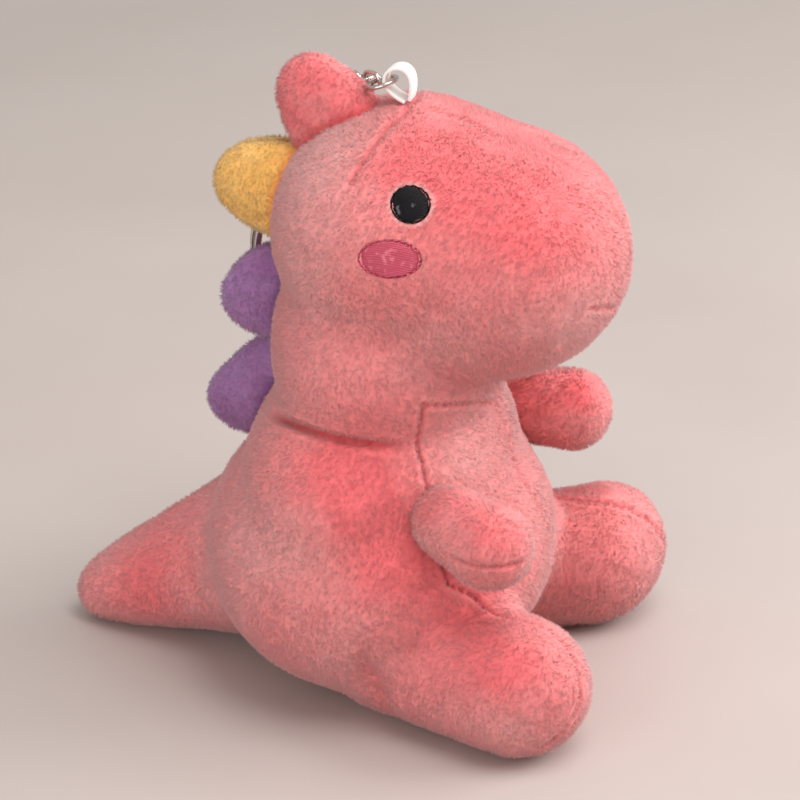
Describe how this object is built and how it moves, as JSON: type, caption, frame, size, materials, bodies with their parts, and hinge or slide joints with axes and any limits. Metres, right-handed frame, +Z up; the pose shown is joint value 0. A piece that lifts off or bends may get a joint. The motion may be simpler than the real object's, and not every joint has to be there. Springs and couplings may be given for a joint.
{
  "type": "plush keychain",
  "caption": "Stuffed plush dinosaur keychain that sits on its base, with stuffed back spikes, sewn arms, a ribbon loop, a link chain and a split key ring.",
  "frame": {"origin": "middle of the flat sewn base that the toy sits on, in its mirror plane", "axes": "+Z up, the toy faces -Y, its left side is +X"},
  "size_m": [0.071, 0.0992, 0.1078],
  "materials": {
    "pink_plush": "short pile plush",
    "yellow_plush": "short pile plush",
    "violet_plush": "short pile plush",
    "black_thread": "satin stitch embroidery",
    "rose_thread": "satin stitch embroidery",
    "white_ribbon": "sheer woven ribbon",
    "nickel": "polished nickel plate",
    "stuffing": "polyester fibre"
  },
  "bodies": {
    "body": {"base_panel": "pink_plush", "belly_panel": "pink_plush", "body_filling": "stuffing", "cheek_left": "rose_thread", "cheek_right": "rose_thread", "eye_left": "black_thread", "eye_right": "black_thread", "leg_panel_left": "pink_plush", "leg_panel_right": "pink_plush", "side_panel_left": "pink_plush", "side_panel_right": "pink_plush", "spike_pink_filling": "stuffing", "spike_pink_left": "pink_plush", "spike_pink_right": "pink_plush", "spike_violet_lower_filling": "stuffing", "spike_violet_lower_left": "violet_plush", "spike_violet_lower_right": "violet_plush", "spike_violet_upper_filling": "stuffing", "spike_violet_upper_left": "violet_plush", "spike_violet_upper_right": "violet_plush", "spike_yellow_filling": "stuffing", "spike_yellow_left": "yellow_plush", "spike_yellow_right": "yellow_plush"},
    "arm_left": {"arm_left_filling": "stuffing", "arm_left_inner": "pink_plush", "arm_left_outer": "pink_plush"},
    "arm_right": {"arm_right_filling": "stuffing", "arm_right_inner": "pink_plush", "arm_right_outer": "pink_plush"},
    "ribbon": {"ribbon_loop": "white_ribbon"},
    "jump_ring": {"jump_ring": "nickel"},
    "chain_link_01": {"chain_link_01": "nickel"},
    "chain_link_02": {"chain_link_02": "nickel"},
    "chain_link_03": {"chain_link_03": "nickel"},
    "chain_link_04": {"chain_link_04": "nickel"},
    "chain_link_05": {"chain_link_05": "nickel"},
    "chain_link_06": {"chain_link_06": "nickel"},
    "chain_link_07": {"chain_link_07": "nickel"},
    "chain_link_08": {"chain_link_08": "nickel"},
    "chain_link_09": {"chain_link_09": "nickel"},
    "chain_link_10": {"chain_link_10": "nickel"},
    "end_ring": {"end_ring": "nickel"},
    "key_ring": {"key_ring": "nickel"}
  },
  "joints": [
    {"name": "arm_left_swing", "type": "hinge", "parent": "body", "child": "arm_left", "pos_m": [0.0254, -0.0196, 0.0402], "axis": [-0.9487, -0.3162, 0], "range_deg": [-20, 40]},
    {"name": "arm_right_swing", "type": "hinge", "parent": "body", "child": "arm_right", "pos_m": [-0.0254, -0.0196, 0.0402], "axis": [-0.9487, 0.3162, 0], "range_deg": [-20, 40]},
    {"name": "ribbon_bend", "type": "hinge", "parent": "body", "child": "ribbon", "pos_m": [0, -0.004, 0.1021], "axis": [1, 0, 0], "range_deg": [0, 20]},
    {"name": "jump_ring_swing", "type": "hinge", "parent": "ribbon", "child": "jump_ring", "pos_m": [0, -0.00018, 0.10474], "axis": [1, 0, 0], "range_deg": [0, 15]},
    {"name": "chain_link_01_swing", "type": "hinge", "parent": "jump_ring", "child": "chain_link_01", "pos_m": [0.00154, 0.00172, 0.10411], "axis": [0.6157, -0.749, 0.245], "range_deg": [0, 25]},
    {"name": "chain_link_02_swing", "type": "hinge", "parent": "chain_link_01", "child": "chain_link_02", "pos_m": [0.00324, 0.00404, 0.10371], "axis": [-0.0678, 0.2205, 0.973], "range_deg": [-10, 6]},
    {"name": "chain_link_03_swing", "type": "hinge", "parent": "chain_link_02", "child": "chain_link_03", "pos_m": [0.00504, 0.00619, 0.10288], "axis": [0.7863, -0.5918, 0.1773], "range_deg": [0, 25]},
    {"name": "chain_link_04_swing", "type": "hinge", "parent": "chain_link_03", "child": "chain_link_04", "pos_m": [0.00685, 0.00813, 0.1017], "axis": [-0.1284, -0.4237, -0.8967], "range_deg": [-6, 10]},
    {"name": "chain_link_05_swing", "type": "hinge", "parent": "chain_link_04", "child": "chain_link_05", "pos_m": [0.00848, 0.00979, 0.09996], "axis": [0.7863, -0.5938, 0.1705], "range_deg": [0, 25]},
    {"name": "chain_link_06_swing", "type": "hinge", "parent": "chain_link_05", "child": "chain_link_06", "pos_m": [0.00993, 0.01118, 0.09786], "axis": [0.3357, 0.6585, 0.6735], "range_deg": [-10, 6]},
    {"name": "chain_link_07_swing", "type": "hinge", "parent": "chain_link_06", "child": "chain_link_07", "pos_m": [0.01129, 0.01242, 0.09561], "axis": [0.8054, -0.5659, 0.1763], "range_deg": [0, 25]},
    {"name": "chain_link_08_swing", "type": "hinge", "parent": "chain_link_07", "child": "chain_link_08", "pos_m": [0.01255, 0.01348, 0.0932], "axis": [-0.39, -0.7506, -0.5333], "range_deg": [-6, 10]},
    {"name": "chain_link_09_swing", "type": "hinge", "parent": "chain_link_08", "child": "chain_link_09", "pos_m": [0.01371, 0.01447, 0.09072], "axis": [0.8143, -0.5594, 0.1548], "range_deg": [0, 25]},
    {"name": "chain_link_10_swing", "type": "hinge", "parent": "chain_link_09", "child": "chain_link_10", "pos_m": [0.01477, 0.01543, 0.08819], "axis": [0.4648, 0.7455, 0.4778], "range_deg": [-10, 6]},
    {"name": "end_ring_swing", "type": "hinge", "parent": "chain_link_10", "child": "end_ring", "pos_m": [0.01568, 0.01627, 0.08555], "axis": [0.7893, -0.6089, 0.0792], "range_deg": [0, 35]},
    {"name": "key_ring_swing", "type": "hinge", "parent": "end_ring", "child": "key_ring", "pos_m": [0.01663, 0.01716, 0.08165], "axis": [-0.6029, -0.733, -0.315], "range_deg": [-6, 10]}
  ]
}
